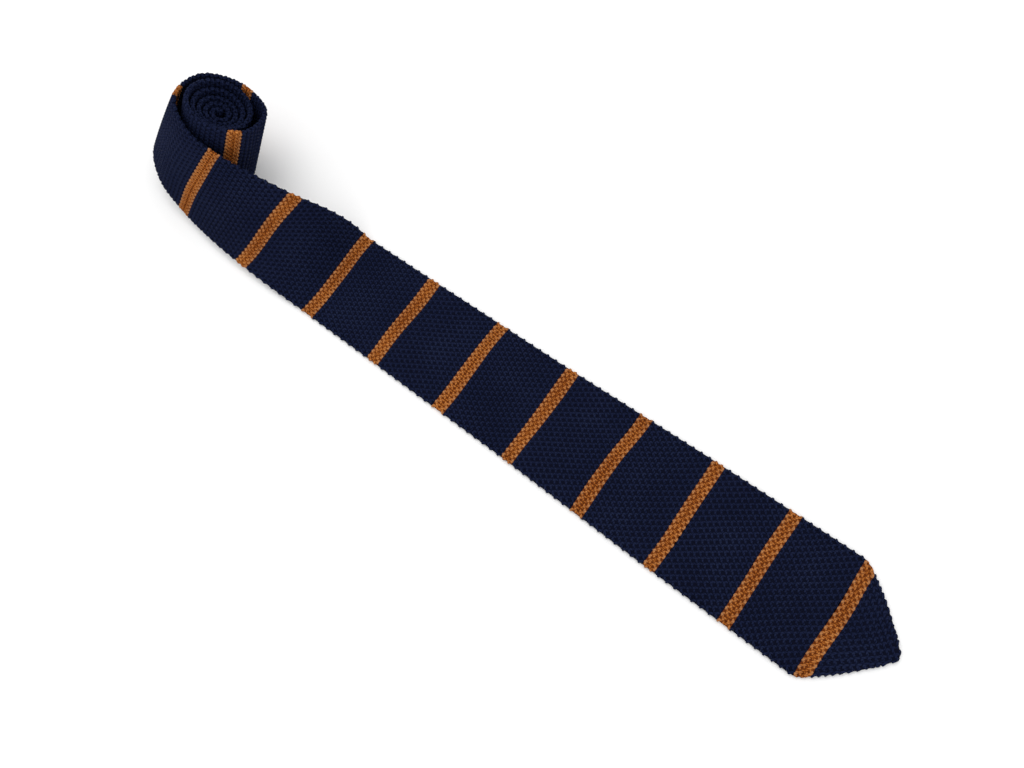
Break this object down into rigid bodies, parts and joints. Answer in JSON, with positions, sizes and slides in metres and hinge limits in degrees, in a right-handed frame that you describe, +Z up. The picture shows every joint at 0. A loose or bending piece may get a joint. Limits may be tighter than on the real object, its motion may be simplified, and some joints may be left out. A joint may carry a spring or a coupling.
{
  "type": "knit tie",
  "caption": "Striped knitted tie with a pointed end, its wide end lying flat and its narrow end rolled up and standing on edge.",
  "frame": {"origin": "under the middle of the first stripe, on the surface that the tie lies on", "axes": "+X along the flat blade towards its tip, +Y across the blade, +Z up"},
  "size_m": [0.4133, 0.0705, 0.0528],
  "materials": {
    "navy_yarn": "matte knitted yarn, navy",
    "mustard_yarn": "matte knitted yarn, mustard"
  },
  "bodies": {
    "root": {"blade_point": "navy_yarn", "stripe_01": "mustard_yarn", "panel_01": "navy_yarn", "stripe_02": "mustard_yarn", "panel_02": "navy_yarn", "stripe_03": "mustard_yarn", "panel_03": "navy_yarn", "stripe_04": "mustard_yarn", "panel_04": "navy_yarn", "stripe_05": "mustard_yarn", "panel_05": "navy_yarn", "stripe_06": "mustard_yarn", "panel_06": "navy_yarn", "stripe_07": "mustard_yarn", "panel_07": "navy_yarn", "stripe_08": "mustard_yarn", "panel_08": "navy_yarn", "stripe_09": "mustard_yarn", "panel_09": "navy_yarn", "stripe_10": "mustard_yarn", "panel_10": "navy_yarn", "stripe_11": "mustard_yarn", "panel_11": "navy_yarn", "stripe_12": "mustard_yarn", "panel_12": "navy_yarn", "stripe_13": "mustard_yarn", "neck": "navy_yarn", "tail": "navy_yarn"}
  },
  "joints": []
}
